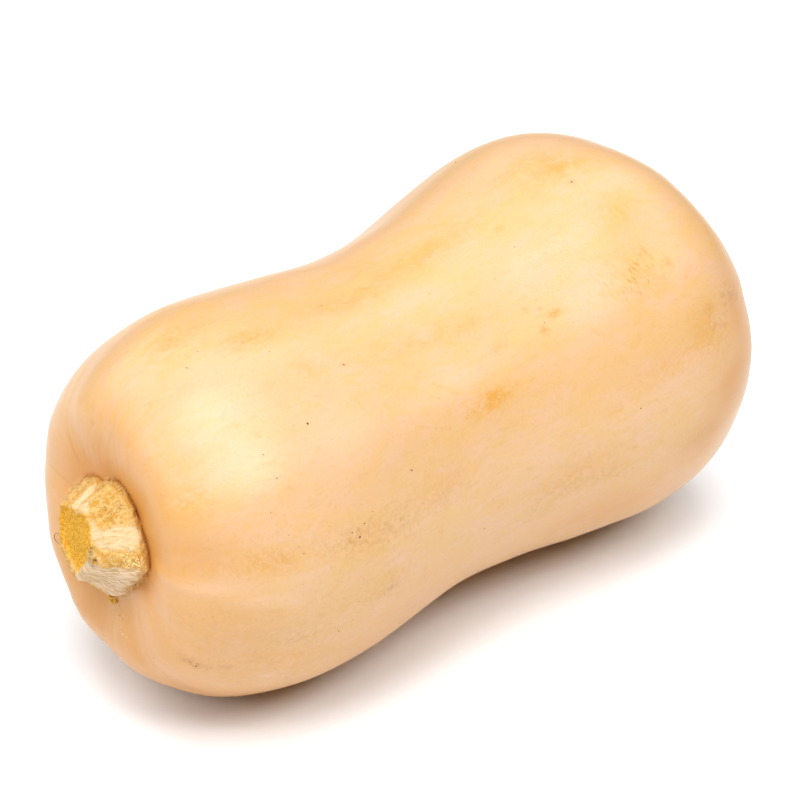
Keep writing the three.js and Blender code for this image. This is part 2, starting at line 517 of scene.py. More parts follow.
# A curled fibre on the edge of the cut: [height, angle, distance from the stem].
FIBRE_POINTS = [
    [10.4, 338, 0.1],
    [10.9, 342, 1.2],
    [11.4, 338, 2.0],
    [11.8, 331, 1.9],
    [12.0, 325, 0.9],
    [11.9, 321, 0.1],
]
FIBRE_THICKNESS = 0.1
FIBRE_RINGS = 40
FIBRE_SIDES = 8

# Soft lights at one distance from the squash: [name, azimuth, elevation, size, power in watts].
# Azimuth 0 is before the squash, at -Y, and 90 at +X. Sizes and distance are in metres.

LIGHTS = [
    ["overhead_softbox", -40, 75, 1.6, 52],
    ["key_light", -2, 52, 0.7, 17],
    ["front_light", -40, 50, 1.2, 9],
    ["left_softbox", -90, 45, 1.6, 27],
    ["right_back_softbox", 95, 50, 1.6, 12],
    ["right_light", 50, 40, 0.7, 7],
    ["left_back_softbox", -175, 45, 1.6, 15],
    ["back_softbox", 140, 65, 1.2, 6],
]
LIGHT_DISTANCE = 2.6

# The photograph's view of the squash

CAMERA_AZIMUTH = -40
CAMERA_ELEVATION = 31.5
CAMERA_TARGET = [6.5, 2.6, 56.2]
CAMERA_DISTANCE = 648
CAMERA_ANGLE = 20


# Shared mathematics


def smooth(value):
    """Rises smoothly from 0 to 1 as value goes from 0 to 1."""
    value = np.clip(value, 0, 1)
    return value * value * (3 - 2 * value)


def bell(distance, half_width):
    return np.exp(-((distance / half_width) ** 2))


def angle_between(angle, other):
    """Signed difference of two angles in degrees, between -180 and 180."""
    return (angle - other + 180) % 360 - 180


def clamped_spline(points, places):
    """A clamped cubic B-spline through its first and last control point, at places from 0 to 1."""
    degree = 3
    points = np.asarray(points, float)
    knots = np.clip((np.arange(len(points) + degree + 1) - degree) / (len(points) - degree), 0, 1)
    places = np.clip(np.asarray(places, float), 0, 1 - 1e-12)
    weights = [(low <= places) & (places < high) for low, high in zip(knots[:-1], knots[1:])]
    weights = [weight.astype(float) for weight in weights]
    for k in range(1, degree + 1):
        raised = []
        for i in range(len(weights) - 1):
            rise = knots[i + k] - knots[i]
            fall = knots[i + k + 1] - knots[i + 1]
            value = np.zeros_like(places)
            if rise > 0:
                value += (places - knots[i]) / rise * weights[i]
            if fall > 0:
                value += (knots[i + k + 1] - places) / fall * weights[i + 1]
            raised.append(value)
        weights = raised
    return np.stack(weights, -1) @ points


def rotation_y(degrees):
    turn = np.radians(degrees)
    return np.array([[np.cos(turn), 0, np.sin(turn)], [0, 1, 0], [-np.sin(turn), 0, np.cos(turn)]])


def rotation_z(degrees):
    turn = np.radians(degrees)
    return np.array([[np.cos(turn), -np.sin(turn), 0], [np.sin(turn), np.cos(turn), 0], [0, 0, 1]])


def wrapped(along, angle, radius):
    """Points at a radius and an angle in degrees round a straight middle line."""
    turn = np.radians(angle)
    across = [radius * np.cos(turn) + 0 * along, radius * np.sin(turn) + 0 * along]
    return np.stack([along + 0 * across[0], *across], -1)


def patches(form, marks):
    """Soft patches at the marks, from 0 to 1 at each point of a form's grid."""
    return np.minimum(sum(strength * form.spot(*place) for *place, strength in marks), 1)


def lumps(points, size, octaves=3, seed=0):
    """Smooth noise between about -1 and 1 at each point. Size is the width of its lumps."""
    flat = np.asarray(points, float).reshape(-1, 3) / size
    flat = flat + np.array([7.1, 3.7, 11.3]) * seed
    values = [noise.fractal(point, 1.0, 2.0, octaves) for point in flat.tolist()]
    return np.array(values).reshape(np.shape(points)[:-1])


def outward_normals(points):
    """Unit normals of a grid of rings and sides that point away from its middle line."""
    along = np.gradient(points, axis=0)
    around = np.roll(points, -1, 1) - np.roll(points, 1, 1)
    normals = np.cross(around, along)
    normals[0] = points[0].mean(0) - points[len(points) // 8].mean(0)
    normals[-1] = points[-1].mean(0) - points[-len(points) // 8].mean(0)
    normals /= np.linalg.norm(normals, axis=-1, keepdims=True) + 1e-12
    middle = points.mean(1, keepdims=True)
    waist = len(points) // 2
    if np.sum(normals[waist] * (points[waist] - middle[waist])) < 0:
        normals[1:-1] *= -1
    return normals


# Form of the fruit


def body_points(station, radius, angle):
    """Points of the smooth body, before it is laid down."""
    share = np.clip(station / BODY_LENGTH, 0, 1)
    middle = clamped_spline(BODY_SPINE, share)
    side = radius * np.cos(np.radians(angle))
    up = radius * np.sin(np.radians(angle))
    stem_lean = smooth(1 - share / LEAN_REACH)
    blossom_lean = smooth(1 - (1 - share) / LEAN_REACH)
    along = station + stem_lean * (STEM_END_LEAN[0] * side + STEM_END_LEAN[1] * up)
    along = along + blossom_lean * (BLOSSOM_END_LEAN[0] * side + BLOSSOM_END_LEAN[1] * up)
    return np.stack([along, middle[..., 1] + side, middle[..., 2] + up], -1)


def body_relief(station, radius, angle, form):
    """How far the skin stands out of the smooth body, by the same rule as in the solids."""
    on_stem_end = smooth(1 - station / FURROW_END)
    deepening = smooth((radius - FURROW_START[0]) / (FURROW_START[1] - FURROW_START[0]))
    rise = np.zeros(np.broadcast(station, angle).shape)
    for at, depth in FURROWS:
        rise -= depth * on_stem_end * deepening * bell(angle_between(angle, at), FURROW_HALF_WIDTH)
    collar = COLLAR_DEPTH * bell(radius - COLLAR_RADIUS, COLLAR_WIDTH) * on_stem_end**2
    dimple = SCAR_DIMPLE_DEPTH * bell(radius, SCAR_DIMPLE_RADIUS)
    lip = form.scar_lip / MM * bell(radius - SCAR_RADIUS, SCAR_RADIUS / 3)
    rise += np.where(station < BODY_LENGTH / 2, -collar, lip - dimple)
    ribs = np.cos(np.radians(RIB_COUNT * angle)) * smooth(radius / SCAR_DIMPLE_RADIUS - 1)
    return rise + form.rib_height / MM * ribs


class Fruit:
    """The fruit's surface as a grid of points, laid down, with its coordinates on the skin."""

    def __init__(self, form):
        outline = clamped_spline(BODY_OUTLINE, np.linspace(0, 1, FRUIT_RINGS))
        self.station = outline[:, :1]
        self.radius = outline[:, 1:]
        self.angle = np.linspace(0, 360, FRUIT_SIDES, endpoint=False)[None]
        steps = np.linalg.norm(np.diff(outline, axis=0), axis=1)
        self.reach = np.concatenate([[0], np.cumsum(steps)])[:, None]
        points = body_points(self.station, self.radius, self.angle)
        relief = body_relief(self.station, self.radius, self.angle, form)
        points += outward_normals(points) * relief[..., None]
        self.set_pose(points)
        self.normals = outward_normals(points)
        self.skin = wrapped(self.reach, self.angle, SKIN_COORDINATE_RADIUS)
        points += self.normals * self.fine_relief(form)[..., None]
        self.points = self.lay_down(points)
        self.points[..., 2] = np.maximum(self.points[..., 2], 0)
        self.normals = outward_normals(self.points)

    def set_pose(self, points):
        """The pitch at which neck and bulb touch the floor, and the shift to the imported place."""
        self.pitch = 0
        self.shift = np.zeros(3)
        on_neck = points[..., 0] < BODY_LENGTH / 2
        for _ in range(8):
            laid = points @ rotation_y(self.pitch).T
            neck = laid[on_neck][np.argmin(laid[on_neck][:, 2])]
            bulb = laid[~on_neck][np.argmin(laid[~on_neck][:, 2])]
            self.pitch += np.degrees(np.arctan2(bulb[2] - neck[2], bulb[0] - neck[0]))
        laid = self.lay_down(points)
        low, high = (np.array(corner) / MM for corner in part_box("fruit"))
        middle = (laid.min((0, 1)) + laid.max((0, 1))) / 2
        self.shift = (low + high) / 2 - middle
        self.shift[2] = -min(neck[2], bulb[2]) - REST_DEPTH

    def lay_down(self, points):
        return points @ rotation_y(self.pitch).T + self.shift

    def fine_relief(self, form):
        """Low lumps, lengthwise waves, folds and raised lines, in millimetres."""
        radius, reach = self.radius, self.reach
        waves = self.skin / [WAVE_STRETCH, 1, 1]
        rise = form.lump_height / MM * lumps(self.skin, LUMP_SIZE, 2, seed=1)
        rise += form.wave_height / MM * lumps(waves, WAVE_SIZE, 2, seed=2)
        rise *= smooth((radius - RELIEF_START[0]) / (RELIEF_START[1] - RELIEF_START[0]))
        # The folds' mask, which the skin's colour uses to paint shade into them.
        self.folds = np.zeros(rise.shape)
        on_stem_end = self.station < BODY_LENGTH / 2
        for *place, height in BROAD_BUMPS:
            rise += height * self.spot(*place)
        for folds, half_width, sign in (
            (WRINKLES, WRINKLE_HALF_WIDTH, -1),
            (RAISED_LINES, RAISED_HALF_WIDTH, 1),
        ):
            for at, turn, height, start, end in folds:
                turned = at + turn * (reach - start)
                away = np.radians(angle_between(self.angle, turned)) * radius
                shown = smooth((reach - start) / LINE_FADE)
                shown = shown * smooth((end - reach) / (end - start))
                line = shown * on_stem_end * bell(away, half_width)
                rise += sign * height * line
                self.folds += line * (sign < 0)
        crater = bell(radius, SCAR_RADIUS * 0.8) * ~on_stem_end
        corky = lumps(wrapped(self.station, self.angle, radius), SCAR_LUMP_SIZE, 3, seed=3)
        return rise + form.scar_roughness / MM * crater * corky

    def spot(self, reach, angle, half_length, half_width):
        """A soft spot on the skin, 1 in its middle and 0 away from it."""
        across = np.radians(angle_between(self.angle, angle)) * self.radius
        return bell(self.reach - reach, half_length) * bell(across, half_width)

    def scratch_coordinates(self):
        """Coordinates across and along the scratches of the scuff, in millimetres."""
        reach, angle, *_ = SCUFF
        across = np.radians(angle_between(self.angle, angle)) * self.radius
        along = self.reach - reach + 0 * across
        slant = np.radians(SCRATCH_SLANT)
        over = along * np.cos(slant) - across * np.sin(slant)
        lengthwise = along * np.sin(slant) + across * np.cos(slant)
        return np.stack([over, lengthwise, 0 * across], -1)

    def place(self, reach, angle):
        """The point of the skin at a reach and angle, and the way out of the skin there."""
        ring = np.interp(reach, self.reach[:, 0], np.arange(FRUIT_RINGS))
        low = int(ring)
        part = ring - low
        side = int(round(angle / 360 * FRUIT_SIDES)) % FRUIT_SIDES
        high = min(low + 1, FRUIT_RINGS - 1)
        point = self.points[low, side] * (1 - part) + self.points[high, side] * part
        return point, self.normals[low, side]


# Form of the stem


class Stem:
    """The stem's surface as a grid of points, in place, with its coordinates and masks."""

    def __init__(self, form, fruit):
        outline = clamped_spline(STEM_OUTLINE, np.linspace(0, 1, STEM_RINGS))
        self.height = outline[:, :1]
        self.angle = np.linspace(0, 360, STEM_SIDES, endpoint=False)[None]
        self.radius = ridged_radius(self.height, outline[:, 1:], self.angle)
        self.fibre = wrapped(self.height, self.angle, STEM_COORDINATE_RADIUS)
        straight = wrapped(-self.height, self.angle, self.radius)
        self.make_masks(straight)
        rise = self.fine_relief(straight, form)
        straight += outward_normals(straight) * rise[..., None]
        straight[..., 0] += form.pith_depth / MM * self.sunk
        turned = straight @ (rotation_z(-STEM_SIDE_TURN) @ rotation_y(STEM_LIFT)).T
        seat = body_points(np.array(BODY_OUTLINE[0][0]), 0, 0) + np.array([0, *STEM_SHIFT])
        self.points = fruit.lay_down(turned + seat)
        self.normals = outward_normals(self.points)

    def make_masks(self, straight):
        """The masks of the pith, pale rim, fibres, pits, spots and grey face, from 0 to 1."""
        on_top = np.arange(STEM_RINGS)[:, None] > STEM_RINGS * TOP_RING_SHARE
        edge_angles = [at for at, _ in PITH_EDGE] + [360]
        edge_radii = [radius for _, radius in PITH_EDGE] + [PITH_EDGE[0][1]]
        edge = np.interp(self.angle, edge_angles, edge_radii)
        wobble = lumps(self.fibre * [0, 1, 1], PITH_EDGE_WOBBLE_SIZE, 3, seed=4)
        inside = (edge + PITH_EDGE_WOBBLE * wobble - self.radius) * on_top
        self.pith = smooth(inside / PITH_EDGE_WIDTH + 0.5) * on_top
        self.sunk = smooth(inside / PITH_SLOPE_WIDTH) * on_top
        at, half_width, strength = PALE_RIM
        around = bell(angle_between(self.angle, at), half_width)
        self.rim = strength * bell(inside, PITH_EDGE_WIDTH) * around * on_top
        self.cream = patches(self, CREAM_PATCHES) * (1 - self.pith)
        self.pits = patches(self, PIT_PATCHES) * (1 - self.pith)
        self.dark = patches(self, DARK_PATCHES) * (1 - self.pith)
        wander = GREY_FACE_WANDER * lumps(straight, 4, 2, seed=5)
        low = smooth((self.angle + wander - GREY_FACE[0]) / GREY_FACE_EDGE + 0.5)
        high = smooth((GREY_FACE[1] - self.angle + wander) / (4 * GREY_FACE_EDGE) + 0.5)
        self.grey = low * high * smooth((self.height + 1) / 3)

    def fine_relief(self, straight, form):
        """Granules, lumps, fibres and pits of the corky side, and of the pith."""
        grain = lumps(straight, STEM_GRAIN_SIZE, 3, seed=6)
        lump = lumps(straight, STEM_LUMP_SIZE, 3, seed=7)
        fibres = lumps(self.fibre * [STEM_FIBRE_STRETCH, 1, 1], STEM_FIBRE_SIZE, 3, seed=8)
        fibrous = np.maximum(self.cream, self.grey) * (1 - self.pith)
        granular = 1 - fibrous
        rise = form.lump_height / MM * lump * (1 - self.pith)
        rise += form.grain_height / MM * grain * (0.45 + 0.55 * granular)
        rise += form.fibre_height / MM * fibres * fibrous * (1 - 0.5 * self.grey)
        for *place, lift in STEM_LUMPS:
            rise += lift * self.spot(*place)
        rise -= form.pit_depth / MM * self.pits * smooth(0.5 + 1.2 * grain)
        return rise - form.pit_depth / MM * self.dark * smooth(0.5 + grain)

    def spot(self, height, angle, half_height, half_width):
        """A soft spot on the stem's side, 1 in its middle and 0 away from it."""
        around = bell(angle_between(self.angle, angle), half_width)
        return bell(self.height - height, half_height) * around

    def place(self, height, angle):
        """The point of the stem's side at a height and angle, and the way out of it there."""
        rising = np.argmax(self.height[:, 0] > STEM_LENGTH - 0.5)
        ring = int(round(np.interp(height, self.height[:rising, 0], np.arange(rising))))
        side = int(round(angle / 360 * STEM_SIDES)) % STEM_SIDES
        return self.points[ring, side], self.normals[ring, side]


def ridged_radius(height, radius, angle):
    """The stem's radius with its ridges, by the same rule as in the solids."""
    to_cut = smooth((height + STEM_ROOT / 2) / (STEM_LENGTH + STEM_ROOT / 2))
    keep = 1 + (RIDGE_AT_CUT - 1) * to_cut
    outwards = smooth(radius / STEM_CUT_RADIUS)
    grown = radius + 0 * angle
    for at, rise, half_width in STEM_RIDGES:
        grown = grown + rise * keep * outwards * bell(angle_between(angle, at), half_width)
    return grown


# Meshes


def new_object(name, data):
    made = bpy.data.objects.new(name, data)
    bpy.context.scene.collection.objects.link(made)
    return made


def carry(mesh, name, values):
    """Stores a number or a vector for each vertex as an attribute of a mesh."""
    values = np.array(values, np.float32)
    kind, key = ("FLOAT", "value") if values.ndim == 1 else ("FLOAT_VECTOR", "vector")
    mesh.attributes.new(name, kind, "POINT").data.foreach_set(key, values.ravel())


def closed_mesh(name, points, carried=None):
    """A closed mesh from a grid of rings and sides whose first and last ring are one point, with
    what it carries: grids of numbers or vectors, each under a name."""
    rings, sides = points.shape[:2]
    inner = np.arange(rings - 2)[:-1, None] * sides
    here = np.arange(sides)[None]
    after = (here + 1) % sides
    quads = np.stack([inner + here, inner + after, inner + sides + after, inner + sides + here], -1)
    first_pole = (rings - 2) * sides
    last_pole = first_pole + 1
    last_ring = (rings - 3) * sides
    faces = quads.reshape(-1, 4).tolist()
    faces += [[first_pole, (i + 1) % sides, i] for i in range(sides)]
    faces += [[last_pole, last_ring + i, last_ring + (i + 1) % sides] for i in range(sides)]
    mesh = bpy.data.meshes.new(name)
    mesh.from_pydata((flattened(points) * MM).tolist(), [], faces)
    for key, values in (carried or {}).items():
        carry(mesh, key, flattened(values))
    if signed_volume(mesh) < 0:
        mesh.flip_normals()
    mesh.polygons.foreach_set("use_smooth", [True] * len(mesh.polygons))
    mesh.update()
    return mesh


def flattened(values):
    """The inner rings' values in a row, then the value of each pole."""
    inner = values[1:-1].reshape(-1, *values.shape[2:])
    return np.concatenate([inner, values[0].mean(0)[None], values[-1].mean(0)[None]])


def signed_volume(mesh):
    mesh.calc_loop_triangles()
    corners = np.zeros(len(mesh.loop_triangles) * 3, np.int32)
    mesh.loop_triangles.foreach_get("vertices", corners)
    places = np.zeros(len(mesh.vertices) * 3)
    mesh.vertices.foreach_get("co", places)
    a, b, c = places.reshape(-1, 3)[corners].reshape(-1, 3, 3).transpose(1, 0, 2)
    return np.sum(a * np.cross(b, c)) / 6


def distances_to(mesh, points):
    """The distance in millimetres from each point to a mesh."""
    corners = [tuple(vertex.co / MM) for vertex in mesh.vertices]
    tree = BVHTree.FromPolygons(corners, [tuple(face.vertices) for face in mesh.polygons])
    flat = points.reshape(-1, 3).tolist()
    found = [tree.find_nearest(point)[3] for point in flat]
    return np.array(found).reshape(points.shape[:-1])


def add_piece(name, mesh, material, replaced=None):
    """Puts a finished mesh in the scene as a piece of the squash."""
    if name in bpy.data.objects and replaced is None:
        raise RuntimeError(f"{name} is made already")
    piece = new_object(name, mesh)
    mesh.materials.clear()
    mesh.materials.append(material)
    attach(piece, "root")
    if replaced:
        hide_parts(replaced)
    return piece


# Nodes


def linear(hex_colour):
    """An sRGB hex colour as linear red, green, blue and alpha."""
    parts = [int(hex_colour[i : i + 2], 16) / 255 for i in (1, 3, 5)]
    parts = [part / 12.92 if part <= 0.04045 else ((part + 0.055) / 1.055) ** 2.4 for part in parts]
    return (*parts, 1.0)


def add(tree, kind, inputs=None, **settings):
    """Adds a node to a tree, with its settings, and sets its inputs or links them to a socket or
    to the first output of another node."""
    node = tree.nodes.new(kind)
    for name, value in settings.items():
        setattr(node, name, value)
    for key, value in (inputs or {}).items():
        if isinstance(value, bpy.types.Node):
            value = value.outputs[0]
        if isinstance(value, bpy.types.NodeSocket):
            tree.links.new(value, node.inputs[key])
        else:
            node.inputs[key].default_value = value
    return node


# Sockets of a Mix node that mixes colours
FACTOR, FIRST, SECOND, RESULT = 0, 6, 7, 2


def new_material(name, marks=()):
    """A material, its empty tree, the place on the object in millimetres, and the marks that the
    mesh carries as attributes."""
    material = bpy.data.materials.new(name)
    material.use_nodes = True
    tree = material.node_tree
    tree.nodes.clear()
    metres = add(tree, "ShaderNodeTexCoord").outputs["Object"]
    place = add(tree, "ShaderNodeVectorMath", {0: metres, "Scale": 1 / MM}, operation="SCALE")
    shown = {}
    for mark in marks:
        shown[mark] = add(tree, "ShaderNodeAttribute", attribute_name=mark).outputs["Fac"]
    return material, tree, place, shown


def lumpy(tree, place, size, detail=2.0, stretch=(1, 1, 1), bend=0.0):
    """Noise with lumps of a size in millimetres, drawn out by stretch and bent by bend."""
    fitted = {0: place, 1: [1 / (size * part) for part in stretch]}
    scaled = add(tree, "ShaderNodeVectorMath", fitted, operation="MULTIPLY")
    noise_inputs = {"Vector": scaled, "Scale": 1.0, "Detail": detail, "Roughness": 0.58}
    return add(tree, "ShaderNodeTexNoise", {**noise_inputs, "Distortion": bend})


def lay_over(tree, under, over, strength, pattern=None, start=0.0, full=1.0, least=0.0):
    """Lays a colour over another. A pattern breaks it up: the colour shows its least up to the
    pattern's start, and in full from its full value."""
    if pattern is not None:
        levels = {0: pattern, 1: start, 2: full, 3: least, 4: 1.0}
        broken = add(tree, "ShaderNodeMapRange", levels, interpolation_type="SMOOTHSTEP")
        strength = add(tree, "ShaderNodeMath", {0: broken, 1: strength}, operation="MULTIPLY")
    layers = {FACTOR: strength, FIRST: under, SECOND: over}
    return add(tree, "ShaderNodeMix", layers, data_type="RGBA").outputs[RESULT]


def layered(tree, colour, layers):
    """Lays colours over a colour, one after the other. A layer is what lay_over takes for it."""
    for layer in layers:
        colour = lay_over(tree, colour, *layer)
    return colour


def stacked(tree, patterns):
    """Adds up patterns, each times its share."""
    total = 0.0
    for pattern, share in patterns:
        inputs = {0: pattern, 1: share, 2: total}
        total = add(tree, "ShaderNodeMath", inputs, operation="MULTIPLY_ADD")
    return total


def finish_surface(material, tree, colour, roughness, height, bump, ior):
    """Ends a material in its shader. Height is in millimetres, and bump is its strength."""
    relief = {"Height": height, "Distance": MM, "Strength": bump}
    bumped = add(tree, "ShaderNodeBump", relief)
    surface = {"Base Color": colour, "Roughness": roughness, "Normal": bumped, "IOR": ior}
    shader = add(tree, "ShaderNodeBsdfPrincipled", surface)
    add(tree, "ShaderNodeOutputMaterial", {"Surface": shader})
    return material


# Materials


def waxy_squash_rind(colours):
    """Ripe squash rind under its own wax: satin, in peach and straw clouds that run a little
    lengthwise, with yellow-orange blotches, fine pores, and small dull and brown marks. Its colour
    also holds painted shade in the dip round the stem, in the fine folds, in the narrow join where
    the stem leaves the skin and on the lower side, and a painted sheen round the highlight and
    along the top."""
    marks = ["blotch", "dull", "smudge", "stain", "pale", "warm_and_shade", "scuff", "folds"]
    marks += ["hollow_tone_and_shade", "crevice_shade", "scar"]
    material, tree, place, shown = new_material("waxy_squash_rind", marks)
    skin = add(tree, "ShaderNodeAttribute", attribute_name="skin").outputs["Vector"]
    scratch = add(tree, "ShaderNodeAttribute", attribute_name="scratch").outputs["Vector"]

    clouds = lumpy(tree, skin, 13, 4.0, (1.6, 1, 1), 0.9)
    streaks = lumpy(tree, skin, 3.6, 4.0, (2.4, 1, 1), 0.6)
    wisps = lumpy(tree, skin, 1.5, 3.0, (3, 1, 1), 0.4)
    flecks = lumpy(tree, skin, 6.5, 4.0, (1.5, 1, 1), 1.2)
    pores = lumpy(tree, place, 0.75, 2.0)
    mottle = lumpy(tree, place, 1.5, 3.0, bend=0.8)

    scratched = lumpy(tree, scratch, 0.95, 2.0, (1, 3.2, 1))
    speckle = stacked(tree, [(flecks, 0.5), (mottle, 0.5)])
    grain = stacked(tree, [(shown["dull"], 0.4), (1.0, 0.14)])
    # Painted shade in the fine folds near the stem, in the scratch colour.
    painted_fold_shade = stacked(tree, [(shown["folds"], 0.4)])

    spaced = add(tree, "ShaderNodeVectorMath", {0: place, "Scale": 1 / 3.1}, operation="SCALE")
    dots = add(tree, "ShaderNodeTexVoronoi", {"Vector": spaced, "Scale": 1.0}, feature="F1")
    picked = add(tree, "ShaderNodeSeparateColor", {0: dots.outputs["Color"]})
    some = add(tree, "ShaderNodeMapRange", {0: picked, 1: 0.66, 2: 0.7})
    crowded = stacked(tree, [(some, 0.16), (shown["dull"], 0.4)])

    layers = [
        (colours.straw, 0.65, clouds, 0.34, 0.66),
        (colours.straw, 0.6, streaks, 0.4, 0.68),
        (colours.blush, 0.55, streaks, 0.46, 0.26),
        (colours.blotch, 0.36, flecks, 0.58, 0.76),
        # Deeper tan: partly the skin's own tone, partly painted shade on the lower side.
        (colours.warm_and_shade, shown["warm_and_shade"], clouds, 0.2, 0.6, 0.75),
        (colours.blotch, shown["blotch"], speckle, 0.4, 0.6, 0.2),
        (colours.dull, shown["dull"], mottle, 0.34, 0.68, 0.12),
        (colours.scratch, shown["scuff"], scratched, 0.52, 0.68),
        # Pale places: partly the skin's own pale marks, partly a painted sheen round the highlight
        # and along the top.
        (colours.peach, shown["pale"], clouds, 0.2, 0.5, 0.5),
        (colours.smudge, shown["smudge"], mottle, 0.36, 0.64),
        (colours.scratch, shown["stain"], pores, 0.3, 0.55, 0.3),
        (colours.dull, 0.16, wisps, 0.52, 0.75),
        (colours.dull, grain, pores, 0.5, 0.72),
        (colours.smudge, crowded, dots.outputs["Distance"], 0.13, 0.05),
        # Deeper orange round the stem: partly the skin's own tone, partly painted shade in the dip
        # round it.
        (colours.hollow_tone_and_shade, shown["hollow_tone_and_shade"]),
        # Painted shade in the fine folds.
        (colours.scratch, painted_fold_shade),
        # Painted shade: a darker line in the narrow join where the stem leaves the skin.
        (colours.crevice_shade, shown["crevice_shade"]),
        (colours.scar, shown["scar"], mottle, 0.2, 0.6, 0.6),
    ]
    colour = layered(tree, colours.peach, layers)

    satin = [(mottle, 0.12), (shown["hollow_tone_and_shade"], 0.2), (shown["crevice_shade"], 0.2), (1.0, 0.26)]
    satin += [(shown["scar"], 0.3)]
    height = [(wisps, 0.07), (pores, 0.09), (mottle, 0.05)]
    roughness = stacked(tree, satin)
    return finish_surface(material, tree, colour, roughness, stacked(tree, height), 0.5, 1.45)


def dry_squash_stem(colours):
    """Dried squash stem: matt, golden and granular like crumbly cork, with cream fibres where the
    bark is rubbed off, a grey weathered face below, orange fibrous pith on the cut, and a painted
    shade along its edge next to the skin."""
    marks = ["cream", "grey", "pits", "pith", "rim", "dark", "foot"]
    material, tree, place, shown = new_material("dry_squash_stem", marks)
    fibre = add(tree, "ShaderNodeAttribute", attribute_name="fibre").outputs["Vector"]

    granules = lumpy(tree, place, 0.5, 2.0)
    crust = lumpy(tree, place, 1.7, 3.0, bend=0.6)
    strands = lumpy(tree, fibre, 0.95, 3.0, (4, 1, 1), 1.0)
    fine_strands = lumpy(tree, fibre, 0.3, 2.0, (9, 1, 1), 0.1)

    cracks = lumpy(tree, place, 1.0, 3.0, bend=1.2)
    bare = stacked(tree, [(crust, 0.8), (strands, 0.5), (granules, 0.4), (shown["cream"], 1.1)])
    threads = stacked(tree, [(shown["cream"], 0.6)])
    broken = stacked(tree, [(shown["pits"], 0.75)])

    layers = [
        (colours.grey_dark, 0.9, fine_strands, 0.6, 0.38),
        (colours.fibre_dark, 0.45, strands, 0.5, 0.7),
    ]
    weathered = layered(tree, colours.grey_light, layers)
    layers = [
        (colours.pith_dark, 0.8, granules, 0.54, 0.4),
        (colours.pith_dark, 0.6, cracks, 0.46, 0.6),
    ]
    pith = layered(tree, colours.pith_light, layers)
    layers = [
        (colours.cork_gold, 0.9, crust, 0.4, 0.62),
        (colours.cork_dark, 0.55, granules, 0.48, 0.34),
        (colours.fibre_light, 1.0, bare, 1.24, 1.68),
        (colours.fibre_dark, threads, strands, 0.56, 0.36),
        (weathered, shown["grey"]),
        (colours.pit, broken, cracks, 0.5, 0.38),
        (pith, shown["pith"]),
        (colours.fibre_light, shown["rim"], granules, 0.3, 0.55, 0.5),
        (colours.spot, shown["dark"], granules, 0.6, 0.44, 0.4),
        # Painted shade along the stem's edge next to the skin.
        (colours.foot, shown["foot"]),
    ]
    colour = layered(tree, colours.cork_light, layers)

    height = [(granules, 0.3), (strands, 0.22), (fine_strands, 0.1)]
    return finish_surface(material, tree, colour, 0.85, stacked(tree, height), 0.8, 1.4)


def corky_bits(name, dark, light):
    """Crumbs of dried plant matter: matt and uneven in tone from grain to grain."""
    material, tree, place, _ = new_material(name)
    tone = lumpy(tree, place, 0.5)
    colour = lay_over(tree, dark, light, 1.0, tone, 0.35, 0.65)
    return finish_surface(material, tree, colour, 0.8, lumpy(tree, place, 0.2), 0.15, 1.4)


def white_paper_sweep(colour, shade):
    """Matt white studio paper with a faint tooth, which shows little but the soft shadow."""
    material, tree, place, _ = new_material("white_paper_sweep")
    tooth = lumpy(tree, place, 1.0)
    tone = lay_over(tree, colour, shade, 0.5, tooth, 0.4, 0.6)
    return finish_surface(material, tree, tone, 0.9, tooth, 0.02, 1.45)


# Geometry Nodes


def new_tree(name, numbers):
    """A Geometry Nodes tree with its inputs, the sockets of its group input, the size and the way
    out that each point carries, and the ids of the inputs."""
    tree = bpy.data.node_groups.new(name, "GeometryNodeTree")
    kinds = {"Geometry": "Geometry", "Seed": "Int", "Material": "Material"}
    kinds.update({label: "Float" for label in numbers})
    identifiers = {}
    for label, kind in kinds.items():
        socket = tree.interface.new_socket(label, in_out="INPUT", socket_type="NodeSocket" + kind)
        identifiers[label] = socket.identifier
    tree.interface.new_socket("Geometry", in_out="OUTPUT", socket_type="NodeSocketGeometry")
    given = add(tree, "NodeGroupInput").outputs
    size = add(tree, "GeometryNodeInputNamedAttribute", {"Name": "size"}, data_type="FLOAT")
    out = add(tree, "GeometryNodeInputNamedAttribute", {"Name": "out"}, data_type="FLOAT_VECTOR")
    return tree, given, size, out, identifiers


def end_tree(tree, given, shape, rotation, scale):
    """Puts a shape on each given point and ends the tree in real geometry with its material."""
    placed = {"Points": given["Geometry"], "Instance": shape, "Rotation": rotation, "Scale": scale}
    instances = add(tree, "GeometryNodeInstanceOnPoints", placed)
    real = add(tree, "GeometryNodeRealizeInstances", {"Geometry": instances})
    rounded = add(tree, "GeometryNodeSetShadeSmooth", {"Geometry": real})
    surface = {"Geometry": rounded, "Material": given["Material"]}
    painted = add(tree, "GeometryNodeSetMaterial", surface)
    add(tree, "NodeGroupOutput", {"Geometry": painted})


